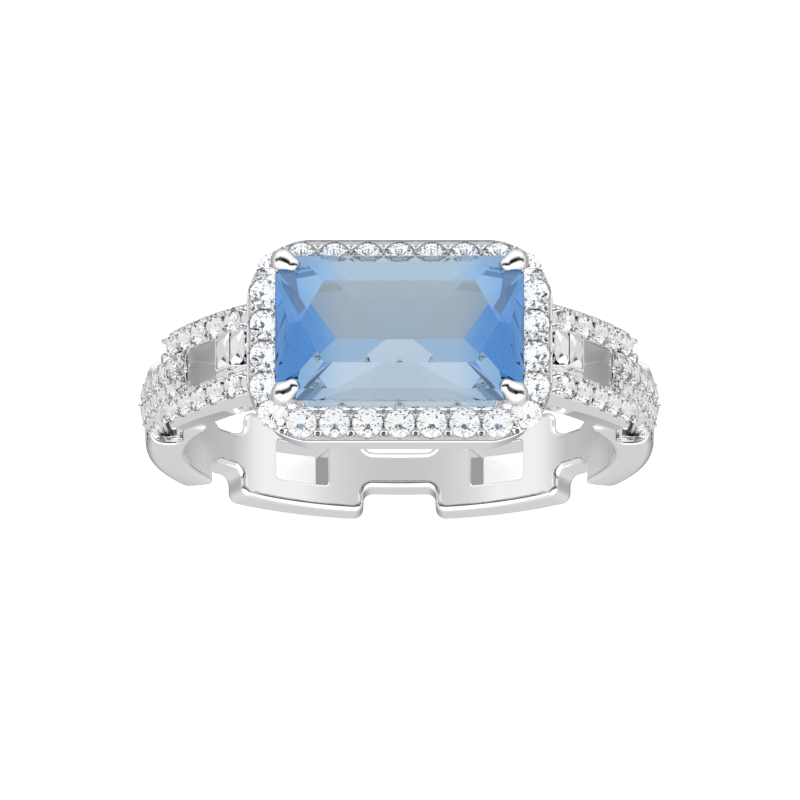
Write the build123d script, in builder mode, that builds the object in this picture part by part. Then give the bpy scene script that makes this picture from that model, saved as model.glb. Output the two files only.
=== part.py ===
from build123d import *
import math
import os

os.makedirs("parts", exist_ok=True)

# ------------------------------------------------------------------
# Cocktail ring, east-west halo head on a chain-link style shank.
# Millimetres. Origin: centre of the finger hole. +Y runs along the
# finger, +Z points to the head, +X to the wearer's side.
# ------------------------------------------------------------------

# ---- driving dimensions ------------------------------------------
R_IN = 8.65            # finger hole radius, US size 7 (17.3 mm)
R_OUT = 10.3           # outside of the polished links
LINK_HALF = 1.8        # half width of a wide link
BAR_HALF = 0.74        # half width of a narrow bar
BRIDGE_HALF = 1.65     # half width of the bridge under the head
WINDOW_HALF = 0.8      # half width of every window
EDGE_ROUND = 0.25      # comfort rounding on the polished links

# wide links, degrees from the bottom of the hoop at the inner and the
# outer radius: the gaps between them have parallel sides
LINK_A, LINK_A_OUT = (9.8, 47.3), (8.3, 43.5)
LINK_A_WINDOW = (19.5, 35.3)
LINK_B, LINK_B_OUT = (58.0, 93.0), (56.8, 93.0)
CHEEK_TOP = 2.9        # height the side links' cheeks reach beside the neck

# shoulder: outer surface is an arc that flattens towards the head
S_R = 15.0
S_CX, S_CZ = -4.39, -0.665
SHOULDER_HALF = 1.9
RAIL_IN = 0.8          # inner edge of each stone rail
CONN_HALF = 0.95       # raised bar of the connector
NECK_HALF = 1.4
BLOCK_HALF = 0.74
BLOCK_RISE = 0.5

# head
HALO_L, HALO_W = 12.3, 8.5
HALO_CUT = 1.56
HALO_TOP = 11.3
HALO_T = 1.15
HALO_IN_L, HALO_IN_W, HALO_IN_CUT = 9.3, 5.2, 0.35
STONE_L, STONE_W, STONE_CUT = 10.0, 6.0, 0.75
GIRDLE_Z = 13.1
GIRDLE_T = 0.12
TABLE_Z = 14.15
KEEL_Z = 9.75
KEEL_L = 4.0
D_HALO = 1.25
D_RAIL = 1.05
D_BLOCK = 0.82
D_CONN = 0.89
D_FLANK = 0.55


def polar(r, deg):
    """Point at radius r, deg degrees from the bottom of the hoop, +X side."""
    a = math.radians(deg)
    return (r * math.sin(a), -r * math.cos(a))


def shoulder(r, deg):
    """Point on the shoulder arc family, deg degrees up from +X."""
    a = math.radians(deg)
    return (S_CX + r * math.cos(a), S_CZ + r * math.sin(a))


def shoulder_at_x(r, x):
    """Angle on the shoulder arc of radius r where it crosses x."""
    return math.degrees(math.acos((x - S_CX) / r))


# Plane.XZ looks along -Y: its local x is +X and its local y is +Z.
XZ = Plane.XZ

# ------------------------------------------------------------------
# Round stones, cut with eight sides: octagonal crown and pavilion.
# Girdle at z = 0, table up.
# ------------------------------------------------------------------
def stone_levels(d):
    return 0.5 * d, 0.30 * d, 0.16 * d, 0.04 * d, 0.42 * d


g, t, hc, hg, hp = stone_levels(1.0)
with BuildPart() as round_stone:
    with BuildSketch(Plane.XY.offset(0)):
        RegularPolygon(radius=g, side_count=8)
    extrude(amount=hg)
    with BuildSketch(Plane.XY.offset(hg)):
        RegularPolygon(radius=g, side_count=8)
    with BuildSketch(Plane.XY.offset(hg + hc)):
        RegularPolygon(radius=t, side_count=8)
    loft(ruled=True)
    with BuildSketch(Plane.XY.offset(-hp)):
        RegularPolygon(radius=0.03, side_count=8)
    with BuildSketch(Plane.XY.offset(0)):
        RegularPolygon(radius=g, side_count=8)
    loft(ruled=True)

# Cutter for one seat: a countersink with a drilled hole below it.
with BuildPart() as seat_cut:
    with BuildSketch(Plane.XZ):
        with BuildLine():
            Polyline((0, -1.6), (0.24, -1.6), (0.24, -0.34), (0.53, 0), (0.53, 0.6), (0, 0.6), (0, -1.6))
        make_face()
    revolve(axis=Axis.Z)

halo_stone = scale(round_stone.part, by=D_HALO)
rail_stone = scale(round_stone.part, by=D_RAIL)
block_stone = scale(round_stone.part, by=D_BLOCK)
conn_stone = scale(round_stone.part, by=D_CONN)
flank_stone = scale(round_stone.part, by=D_FLANK)
halo_seat = scale(seat_cut.part, by=D_HALO)
rail_seat = scale(seat_cut.part, by=D_RAIL)
block_seat = scale(seat_cut.part, by=D_BLOCK)
conn_seat = scale(seat_cut.part, by=D_CONN)

# ------------------------------------------------------------------
# Stone positions
# ------------------------------------------------------------------
HS_Z = HALO_TOP - 0.06
ROW_X = (-3.95, -2.62, -1.29, 0.0, 1.29, 2.62, 3.95)
front_locs = [Plane(origin=(x, -3.44, HS_Z)) for x in ROW_X]
rear_locs = [Plane(origin=(x, 3.44, HS_Z)) for x in ROW_X]
left_locs = [Plane(origin=(-5.42, y, HS_Z)) for y in (-1.95, -0.65, 0.65, 1.95)]
right_locs = [Plane(origin=(5.42, y, HS_Z)) for y in (-1.95, -0.65, 0.65, 1.95)]
corner_locs = [Plane(origin=(sx * 5.10, sy * 3.05, HS_Z)) for sx in (-1, 1) for sy in (-1, 1)]
halo_locs = front_locs + rear_locs + left_locs + right_locs + corner_locs


def on_shoulder(r, deg, y, lean=0.0):
    """Plane on the shoulder surface with its z axis along the outward normal."""
    a = math.radians(deg)
    x, z = shoulder(r, deg)
    n = Vector(math.cos(a) * math.cos(lean), math.sin(lean), math.sin(a) * math.cos(lean))
    return Plane(origin=(x, y, z), x_dir=(-math.sin(a), 0, math.cos(a)), z_dir=n)


RAIL_DEG = (24.6, 28.8, 32.95, 37.3, 41.7)
rail_front = [on_shoulder(S_R - 0.08, a, -1.36) for a in RAIL_DEG]
rail_rear = [on_shoulder(S_R - 0.08, a, 1.36) for a in RAIL_DEG]
BLOCK_DEG = (41.95, 45.0)
block_locs = [on_shoulder(S_R + BLOCK_RISE - 0.08, a, 0) for a in BLOCK_DEG]
CONN_DEG = (9.4, 13.1, 16.8, 20.5, 24.2, 27.7)
flank_locs = []
for deg in (95.4, 99.6, 103.8):
    fx, fz = polar(10.21, deg)
    for fy in (-1.10, 1.10):
        fa = math.radians(deg - 90)
        flank_locs.append(Plane(origin=(fx, fy, fz), x_dir=(0, 1, 0), z_dir=(math.cos(fa), 0, math.sin(fa))))
conn_locs = [on_shoulder(S_R - 0.13, a, t * 0.44, t * math.radians(14)) for a in CONN_DEG for t in (-1, 1)]

# ------------------------------------------------------------------
# 1. Polished lower shank: bottom bar, links A, bars, links B
# ------------------------------------------------------------------
with BuildPart() as lower_shank:
    # narrow spine that runs through the whole polished part
    with BuildSketch(XZ):
        with BuildLine():
            a0, a1 = -LINK_B[1] + 2, LINK_B[1] - 2
            CenterArc((0, 0), R_IN, -90 + a0, a1 - a0)
            CenterArc((0, 0), R_OUT, -90 + a0, a1 - a0)
            Line(polar(R_IN, a0), polar(R_OUT, a0))
            Line(polar(R_IN, a1), polar(R_OUT, a1))
        make_face()
    extrude(amount=BAR_HALF, both=True)
    # four wide links
    for (d0, d1), (e0, e1), s in ((LINK_A, LINK_A_OUT, 1), (LINK_A, LINK_A_OUT, -1),
                                  (LINK_B, LINK_B_OUT, 1), (LINK_B, LINK_B_OUT, -1)):
        b0, b1 = (d0, d1) if s > 0 else (-d1, -d0)
        c0, c1 = (e0, e1) if s > 0 else (-e1, -e0)
        with BuildSketch(XZ) as link_profile:
            with BuildLine():
                CenterArc((0, 0), R_IN, -90 + b0, b1 - b0)
                CenterArc((0, 0), R_OUT, -90 + c0, c1 - c0)
                Line(polar(R_IN, b0), polar(R_OUT, c0))
                Line(polar(R_IN, b1), polar(R_OUT, c1))
            make_face()
            fillet(link_profile.vertices().filter_by(
                lambda v: math.hypot(v.X, v.Z) > R_OUT - 0.2 and abs(abs(math.degrees(math.atan2(v.X, -v.Z))) - 93) > 1),
                radius=0.45)
        extrude(amount=LINK_HALF, both=True)
    # comfort rounding on the long inner and outer edges of the links
    rim = lower_shank.edges().filter_by(GeomType.CIRCLE).filter_by(
        lambda e: abs(abs(e.center().Y) - LINK_HALF) < 0.01 and e.length > 3)
    fillet(rim, radius=EDGE_ROUND)
    # cheeks: the side links run up past the connector's neck on both
    # faces and open round it in a U
    for s in (-1, 1):
        for t in (-1, 1):
            with BuildSketch(Plane(origin=(0, t * 1.4, 0), x_dir=(1, 0, 0), z_dir=(0, -1, 0))):
                with BuildLine():
                    CenterArc((0, 0), R_IN, -90 + 92.5 if s > 0 else -90 - 92.5, 17 * s)
                    CenterArc((0, 0), R_OUT, -90 + 92.5 if s > 0 else -90 - 92.5, 17 * s)
                    Line(polar(R_IN, 92.5 * s), polar(R_OUT, 92.5 * s))
                    Line(polar(R_IN, 109.5 * s), polar(R_OUT, 109.5 * s))
                make_face()
                with Locations((s * 9.48, 2.4)):
                    Circle(0.72, mode=Mode.SUBTRACT)
                with Locations((s * 9.98, 3.9)):
                    Rectangle(2.44, 3.0, mode=Mode.SUBTRACT)
                with Locations((s * 9.0, CHEEK_TOP + 1)):
                    Rectangle(4.0, 2.0, mode=Mode.SUBTRACT)
            extrude(amount=-t * 0.4)
    # windows through the two lower links
    for d0, d1, s in (LINK_A_WINDOW + (1,), LINK_A_WINDOW + (-1,)):
        with BuildSketch(XZ):
            with BuildLine():
                Polyline(polar(R_IN - 1, s * d0), polar(R_OUT + 1, s * d0), polar(R_OUT + 1, s * d1),
                         polar(R_IN - 1, s * d1), polar(R_IN - 1, s * d0))
            make_face()
        extrude(amount=WINDOW_HALF, both=True, mode=Mode.SUBTRACT)
lower_shank.part.label = "lower_shank"
export_step(lower_shank.part, "parts/lower_shank.step")

# ------------------------------------------------------------------
# 2-3. Connectors: neck between the side link and the shoulder, with
# a raised stone-set bar that runs on over the shoulder's lower
# crossbar as far as its window
# ------------------------------------------------------------------
P_FOOT_IN = polar(R_IN, LINK_B[1])          # on the side link's top face
P_NECK_OUT = polar(10.25, LINK_B[1])
P_BAR_OUT = shoulder(S_R, 5.2)
P_SH_IN = polar(R_IN, 111.5)                # shoulder's lower end, inside
P_SH_MID = (8.95, 4.35)
P_SH_OUT = shoulder(S_R, 24.2)              # shoulder's lower end, outside
WIN_TOP_X = 8.59
A_WIN = shoulder_at_x(S_R, WIN_TOP_X)
BAR_T = 0.55                                # thickness of the bar over the shoulder

with BuildPart() as connector_right:
    # neck, plain on the inside
    with BuildSketch(XZ):
        with BuildLine():
            CenterArc((0, 0), R_IN, -90 + LINK_B[1], 111.5 - LINK_B[1])
            Polyline(P_SH_IN, P_SH_MID, (9.06, 4.80))
            ThreePointArc((9.06, 4.80), polar(10.25, 104.5), P_NECK_OUT)
            Line(P_NECK_OUT, P_FOOT_IN)
        make_face()
    extrude(amount=NECK_HALF, both=True)
    # raised bar
    with BuildSketch(XZ):
        with BuildLine():
            l1 = CenterArc((S_CX, S_CZ), S_R, 5.2, A_WIN - 5.2)
            l2 = CenterArc((S_CX, S_CZ), S_R - BAR_T, 5.2, A_WIN - 5.2)
            Line(l1 @ 0, l2 @ 0)
            Line(l1 @ 1, l2 @ 1)
        make_face()
    extrude(amount=CONN_HALF, both=True)
    # bar root, fills between neck and bar below the shoulder
    with BuildSketch(XZ):
        with BuildLine():
            Polyline(polar(9.6, LINK_B[1]), shoulder(S_R - 0.05, 5.2), shoulder(S_R - 0.05, 12), shoulder(S_R - 0.05, 20),
                     (9.12, 5.1), P_SH_MID, polar(9.6, 104), polar(9.6, LINK_B[1]))
        make_face()
    extrude(amount=CONN_HALF, both=True)
    # the bar's long edges fall away in a shallow bevel
    for t in (-1, 1):
        with BuildSketch(Plane(origin=(S_CX, 0, S_CZ), x_dir=(1, 0, 0), z_dir=(0, 0, 1))):
            with BuildLine():
                Polyline((S_R + 0.05, t * 0.60), (S_R + 0.05, t * 0.97), (S_R - 0.17, t * 0.97), (S_R + 0.05, t * 0.60))
            make_face()
        revolve(axis=Axis((S_CX, 0, S_CZ), (0, 1, 0)), mode=Mode.SUBTRACT)
    # decorative notches in both flanks, under the ledge stones
    for deg in (97.0, 101.5, 106.0):
        for sy in (-1, 1):
            with BuildSketch(Plane(origin=(0, sy * (NECK_HALF - 0.35), 0), x_dir=(1, 0, 0), z_dir=(0, -1, 0))):
                with BuildLine():
                    Polyline(polar(9.25, deg - 1.7), polar(9.95, deg), polar(9.25, deg + 1.7), polar(9.25, deg - 1.7))
                make_face()
            extrude(amount=-sy * 0.8, mode=Mode.SUBTRACT)
    with Locations(*conn_locs):
        add(conn_seat, mode=Mode.SUBTRACT)
    with Locations(*flank_locs):
        add(flank_stone, mode=Mode.SUBTRACT)
connector_right.part.label = "connector_right"

with BuildPart() as connector_left:
    mirror(connector_right.part, about=Plane.YZ)
connector_left.part.label = "connector_left"
export_step(connector_right.part, "parts/connector_right.step")
export_step(connector_left.part, "parts/connector_left.step")

# ------------------------------------------------------------------
# 4-5. Shoulders: flared link with a window, two stone rails and a
# raised stone block beside the head
# ------------------------------------------------------------------
TOP_Z = HALO_TOP - HALO_T
A_TOP = math.degrees(math.asin((TOP_Z - S_CZ) / S_R))
UPPER_DEG = 146.0
with BuildPart() as shoulder_right:
    with BuildSketch(XZ):
        with BuildLine():
            CenterArc((0, 0), R_IN, -90 + 111.5, UPPER_DEG - 111.5)
            Polyline(P_SH_IN, P_SH_MID, (9.06, 4.80), P_SH_OUT)
            arc = CenterArc((S_CX, S_CZ), S_R, 24.2, A_TOP - 24.2)
            Polyline(arc @ 1, (5.15, TOP_Z), polar(R_IN, UPPER_DEG))
        make_face()
    extrude(amount=SHOULDER_HALF, both=True)
    # comfort rounding inside the finger hole
    rim = shoulder_right.edges().filter_by(GeomType.CIRCLE).filter_by(
        lambda e: abs(e.arc_center.X) < 0.01 and abs(e.radius - R_IN) < 0.01)
    fillet(rim, radius=0.3)
    # room for the connector's bar over the lower crossbar
    with BuildSketch(XZ):
        with BuildLine():
            l1 = CenterArc((S_CX, S_CZ), S_R + 0.4, 18, A_WIN + 2 - 18)
            l2 = CenterArc((S_CX, S_CZ), S_R - BAR_T, 18, A_WIN + 2 - 18)
            Line(l1 @ 0, l2 @ 0)
            Line(l1 @ 1, l2 @ 1)
        make_face()
    extrude(amount=CONN_HALF, both=True, mode=Mode.SUBTRACT)
    # raised block above the window
    with BuildSketch(XZ):
        with BuildLine():
            a0 = shoulder_at_x(S_R + BLOCK_RISE, 7.43)
            l1 = CenterArc((S_CX, S_CZ), S_R + BLOCK_RISE, a0, 46.6 - a0)
            l2 = CenterArc((S_CX, S_CZ), S_R - 0.3, a0, 46.6 - a0)
            Line(l1 @ 0, l2 @ 0)
            Line(l1 @ 1, l2 @ 1)
        make_face()
    extrude(amount=BLOCK_HALF, both=True)
    # window
    with BuildSketch(XZ):
        with BuildLine():
            Polyline((8.62, 7.9), (8.47, 5.36), (6.7, 4.35), (4.9, 5.7), (7.4, 8.57), (7.62, 8.85), (8.62, 7.9))
        make_face()
    extrude(amount=WINDOW_HALF, both=True, mode=Mode.SUBTRACT)
    # nothing of the block reaches into the halo plate
    with BuildSketch(Plane.XY.offset(TOP_Z)):
        Rectangle(30, 10)
    extrude(amount=3, mode=Mode.SUBTRACT)
    with Locations(*(rail_front + rail_rear)):
        add(rail_seat, mode=Mode.SUBTRACT)
    with Locations(*block_locs):
        add(block_seat, mode=Mode.SUBTRACT)
shoulder_right.part.label = "shoulder_right"

with BuildPart() as shoulder_left:
    mirror(shoulder_right.part, about=Plane.YZ)
shoulder_left.part.label = "shoulder_left"
export_step(shoulder_right.part, "parts/shoulder_right.step")
export_step(shoulder_left.part, "parts/shoulder_left.step")

# ------------------------------------------------------------------
# 6. Bridge: closes the hoop under the head
# ------------------------------------------------------------------
B_X0, B_Z0 = polar(R_IN, UPPER_DEG)
B_X1, B_Z1 = B_X0 + 0.105, B_Z0 + 1.0
with BuildPart() as bridge:
    with BuildSketch(XZ):
        with BuildLine():
            CenterArc((0, 0), R_IN, -90 + UPPER_DEG, 360 - 2 * UPPER_DEG)
            ThreePointArc((B_X1, B_Z1), (0, math.hypot(B_X1, B_Z1)), (-B_X1, B_Z1))
            Line((B_X0, B_Z0), (B_X1, B_Z1))
            Line((-B_X0, B_Z0), (-B_X1, B_Z1))
        make_face()
    extrude(amount=BRIDGE_HALF, both=True)
    rim = bridge.edges().filter_by(GeomType.CIRCLE).filter_by(
        lambda e: abs(e.radius - R_IN) < 0.01 and abs(abs(e.center().Y) - BRIDGE_HALF) < 0.01)
    fillet(rim, radius=0.2)
    # three cleaning openings behind the centre stone
    with BuildSketch(Plane.XY):
        with Locations((-2.35, 0), (0, 0), (2.35, 0)):
            SlotOverall(1.7, 1.3)
    extrude(amount=12, mode=Mode.SUBTRACT)
bridge.part.label = "bridge"
export_step(bridge.part, "parts/bridge.step")

# ------------------------------------------------------------------
# 7-8. Gallery: rectangular rail on the bridge, and the posts that
# carry the halo on it
# ------------------------------------------------------------------
G_Z0, G_Z1 = 8.70, 9.40
with BuildPart() as gallery_rail:
    with BuildSketch(Plane.XY.offset(G_Z0)):
        RectangleRounded(8.8, 5.0, 0.8)
        RectangleRounded(7.6, 3.9, 0.4, mode=Mode.SUBTRACT)
    extrude(amount=G_Z1 - G_Z0)
    fillet(gallery_rail.edges().filter_by(lambda e: e.center().Z > G_Z1 - 0.01), radius=0.12)
    add(bridge.part, mode=Mode.SUBTRACT)
gallery_rail.part.label = "gallery_rail"
export_step(gallery_rail.part, "parts/gallery_rail.step")

POSTS = [(-2.3, -2.2, -2.5, -2.92), (2.3, -2.2, 2.5, -2.92), (-2.3, 2.2, -2.5, 2.92), (2.3, 2.2, 2.5, 2.92),
         (0, -2.2, 0, -2.92), (0, 2.2, 0, 2.92)]
with BuildPart() as gallery_posts:
    # each post leans out a little, up to the halo's underside
    for x0, y0, x1, y1 in POSTS:
        with BuildSketch(Plane.XY.offset(G_Z1)):
            with Locations((x0, y0)):
                Circle(0.25)
        with BuildSketch(Plane.XY.offset(HALO_TOP - HALO_T)):
            with Locations((x1, y1)):
                Circle(0.3)
        loft()
gallery_posts.part.label = "gallery_posts"
export_step(gallery_posts.part, "parts/gallery_posts.step")

# ------------------------------------------------------------------
# 9. Halo plate: cut-corner frame with a seat for every round stone
# ------------------------------------------------------------------
with BuildPart() as halo_plate:
    with BuildSketch(Plane.XY.offset(HALO_TOP - HALO_T)) as halo_outline:
        Rectangle(HALO_L, HALO_W)
        chamfer(halo_outline.vertices(), length=HALO_CUT)
        fillet(halo_outline.vertices(), radius=0.9)
    extrude(amount=HALO_T)
    fillet(halo_plate.edges().filter_by(lambda e: e.center().Z > HALO_TOP - 0.01), radius=0.1)
    with BuildSketch(Plane.XY.offset(HALO_TOP - HALO_T)) as halo_inner:
        Rectangle(HALO_IN_L, HALO_IN_W)
        chamfer(halo_inner.vertices(), length=HALO_IN_CUT)
    extrude(amount=HALO_T, mode=Mode.SUBTRACT)
    with Locations(*halo_locs):
        add(halo_seat, mode=Mode.SUBTRACT)
halo_plate.part.label = "halo_plate"
export_step(halo_plate.part, "parts/halo_plate.step")

# ------------------------------------------------------------------
# 15. Centre stone: cut-corner rectangle with a keel
# ------------------------------------------------------------------
def centre_levels():
    """z, length, width, corner cut of each level from keel to table."""
    return [
        (KEEL_Z, KEEL_L, 0.08, 0.02),
        (11.75, 7.9, 3.9, 0.6),
        (GIRDLE_Z, STONE_L, STONE_W, STONE_CUT),
        (GIRDLE_Z + GIRDLE_T, STONE_L, STONE_W, STONE_CUT),
        (13.75, 8.6, 4.7, 0.62),
        (TABLE_Z, 7.3, 3.7, 0.5),
    ]


levels = centre_levels()
with BuildPart() as centre_stone:
    for lower, upper in zip(levels[:-1], levels[1:]):
        for z, ln, wd, cut in (lower, upper):
            with BuildSketch(Plane.XY.offset(z)):
                with BuildLine():
                    Polyline((-ln / 2 + cut, -wd / 2), (ln / 2 - cut, -wd / 2), (ln / 2, -wd / 2 + cut),
                             (ln / 2, wd / 2 - cut), (ln / 2 - cut, wd / 2), (-ln / 2 + cut, wd / 2),
                             (-ln / 2, wd / 2 - cut), (-ln / 2, -wd / 2 + cut), close=True)
                make_face()
        loft(ruled=True)
centre_stone.part.label = "centre_stone"
export_step(centre_stone.part, "parts/centre_stone.step")

# ------------------------------------------------------------------
# 11-14. Claws: posts that stand on the gallery rail's corners, pass
# through the halo's opening and bend over the stone's corners
# ------------------------------------------------------------------
CL_X, CL_Y = 3.95, 2.05
CL_R = 0.34
R2 = math.sqrt(0.5)
diagonal = Plane(origin=(CL_X, CL_Y, 0), x_dir=(R2, R2, 0), z_dir=(R2, -R2, 0))
with BuildPart() as claw_rear_right:
    with BuildLine(diagonal) as claw_path:
        FilletPolyline((0.02, G_Z1 - 0.15), (0.32, HALO_TOP), (1.26, 13.12), (1.10, 13.72), (0.46, 14.04),
                       radius=(1.5, 0.5, 0.3))
    with BuildSketch(Plane(origin=claw_path.line @ 0, z_dir=claw_path.line % 0)):
        Circle(CL_R)
    sweep(path=claw_path.line)
    with Locations(claw_path.line @ 1):
        Sphere(CL_R)
    add(centre_stone.part, mode=Mode.SUBTRACT)
    add(gallery_rail.part, mode=Mode.SUBTRACT)
claw_rear_right.part.label = "claw_rear_right"
with BuildPart() as claw_rear_left:
    mirror(claw_rear_right.part, about=Plane.YZ)
claw_rear_left.part.label = "claw_rear_left"
with BuildPart() as claw_front_right:
    mirror(claw_rear_right.part, about=Plane.XZ)
claw_front_right.part.label = "claw_front_right"
with BuildPart() as claw_front_left:
    mirror(claw_rear_left.part, about=Plane.XZ)
claw_front_left.part.label = "claw_front_left"
for claw in (claw_rear_right, claw_rear_left, claw_front_right, claw_front_left):
    export_step(claw.part, "parts/" + claw.part.label + ".step")

# ------------------------------------------------------------------
# 10. Seat rail: wire round the pavilion that ties the claws together
# ------------------------------------------------------------------
SEAT_Z0, SEAT_Z1 = 11.9, 12.35
with BuildPart() as seat_rail:
    with BuildSketch(Plane.XY.offset(SEAT_Z0)):
        RectangleRounded(9.4, 5.4, 0.5)
        RectangleRounded(8.3, 4.3, 0.2, mode=Mode.SUBTRACT)
    extrude(amount=SEAT_Z1 - SEAT_Z0)
    add(centre_stone.part, mode=Mode.SUBTRACT)
    for claw in (claw_rear_right, claw_rear_left, claw_front_right, claw_front_left):
        add(claw.part, mode=Mode.SUBTRACT)
seat_rail.part.label = "seat_rail"
export_step(seat_rail.part, "parts/seat_rail.step")

# ------------------------------------------------------------------
# 16-30. Round stones, each group one node of separate solids
# ------------------------------------------------------------------
def mirrored(planes):
    """The same stone places on the -X side."""
    out = []
    for p in planes:
        o, z = p.origin, p.z_dir
        out.append(Plane(origin=(-o.X, o.Y, o.Z), x_dir=(0, 1, 0), z_dir=(-z.X, z.Y, z.Z)))
    return out


GROUPS = [
    ("halo_stones_front", halo_stone, front_locs),
    ("halo_stones_rear", halo_stone, rear_locs),
    ("halo_stones_left", halo_stone, left_locs),
    ("halo_stones_right", halo_stone, right_locs),
    ("halo_stones_corners", halo_stone, corner_locs),
    ("rail_stones_front_right", rail_stone, rail_front),
    ("rail_stones_rear_right", rail_stone, rail_rear),
    ("rail_stones_front_left", rail_stone, mirrored(rail_front)),
    ("rail_stones_rear_left", rail_stone, mirrored(rail_rear)),
    ("block_stones_right", block_stone, block_locs),
    ("block_stones_left", block_stone, mirrored(block_locs)),
    ("connector_stones_right", conn_stone, conn_locs),
    ("connector_stones_left", conn_stone, mirrored(conn_locs)),
    ("flank_stones_right", flank_stone, flank_locs),
    ("flank_stones_left", flank_stone, mirrored(flank_locs)),
]
for name, stone, places in GROUPS:
    with BuildPart() as stones:
        with Locations(*places):
            add(stone)
    stones.part.label = name
    export_step(stones.part, "parts/" + name + ".step")
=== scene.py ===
import bpy
import bmesh
import math
import random
import numpy as np
from mathutils import Matrix, Vector


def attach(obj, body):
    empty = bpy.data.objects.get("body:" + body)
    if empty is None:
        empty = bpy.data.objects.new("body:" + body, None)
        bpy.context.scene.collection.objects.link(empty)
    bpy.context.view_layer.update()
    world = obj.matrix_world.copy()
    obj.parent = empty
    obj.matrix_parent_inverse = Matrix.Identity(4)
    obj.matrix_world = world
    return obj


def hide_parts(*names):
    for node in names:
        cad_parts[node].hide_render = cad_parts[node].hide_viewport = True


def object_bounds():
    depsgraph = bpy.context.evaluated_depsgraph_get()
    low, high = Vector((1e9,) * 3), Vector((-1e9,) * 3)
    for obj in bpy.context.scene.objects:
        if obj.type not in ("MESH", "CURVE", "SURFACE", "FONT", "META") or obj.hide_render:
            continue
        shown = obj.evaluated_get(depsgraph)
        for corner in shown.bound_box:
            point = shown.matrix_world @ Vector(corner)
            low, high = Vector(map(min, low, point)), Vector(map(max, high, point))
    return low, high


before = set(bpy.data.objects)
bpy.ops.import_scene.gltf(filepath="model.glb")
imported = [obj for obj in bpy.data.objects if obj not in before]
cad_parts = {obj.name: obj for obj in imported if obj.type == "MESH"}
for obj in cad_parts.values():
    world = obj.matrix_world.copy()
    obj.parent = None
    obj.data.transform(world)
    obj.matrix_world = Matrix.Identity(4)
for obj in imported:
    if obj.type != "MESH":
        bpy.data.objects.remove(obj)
CAD_LO, CAD_HI = [list(v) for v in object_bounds()]
MM = 0.001
f32 = np.float32

# ------------------------------------------------------------------
# dimensions shared with the CAD source, in mm
# ------------------------------------------------------------------
R_IN, R_OUT = 8.65, 10.3
S_R, S_CX, S_CZ = 15.0, -4.39, -0.665
HALO_TOP, HALO_T = 11.3, 1.15


def polar(r, deg):
    a = math.radians(deg)
    return r * math.sin(a), -r * math.cos(a)


def shoulder(r, deg):
    a = math.radians(deg)
    return S_CX + r * math.cos(a), S_CZ + r * math.sin(a)


# ------------------------------------------------------------------
# camera, lights, floor
# ------------------------------------------------------------------
scene = bpy.context.scene
scene.view_settings.view_transform = "Standard"
ELEV = math.radians(74.8)
BACK = Vector((0, -math.cos(ELEV), math.sin(ELEV)))
UP = Vector((0, math.sin(ELEV), math.cos(ELEV)))
TARGET = UP * 0.5567 + Vector((0.0162, 0, 0))
DIST = 1500.0
cam_data = bpy.data.cameras.new("camera")
cam_data.sensor_width = 36
cam_data.lens = DIST * 36 / 32.389
cam_data.clip_start, cam_data.clip_end = 0.2, 20
cam = bpy.data.objects.new("camera", cam_data)
scene.collection.objects.link(cam)
cam.location = (TARGET + BACK * DIST) * MM
cam.rotation_mode = "QUATERNION"
cam.rotation_quaternion = BACK.to_track_quat("Z", "Y")
scene.camera = cam


def node(nt, kind, **values):
    n = nt.nodes.new(kind)
    for k, v in values.items():
        setattr(n, k, v)
    return n


def ramp(nt, stops, interpolation="LINEAR"):
    r = nt.nodes.new("ShaderNodeValToRGB")
    r.color_ramp.interpolation = interpolation
    e = r.color_ramp.elements
    while len(e) > 1:
        e.remove(e[-1])
    e[0].position, e[0].color = stops[0][0], (*[stops[0][1]] * 3, 1) if not isinstance(stops[0][1], tuple) else (*stops[0][1], 1)
    for p, c in stops[1:]:
        s = e.new(p)
        s.color = (*[c] * 3, 1) if not isinstance(c, tuple) else (*c, 1)
    return r


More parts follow.
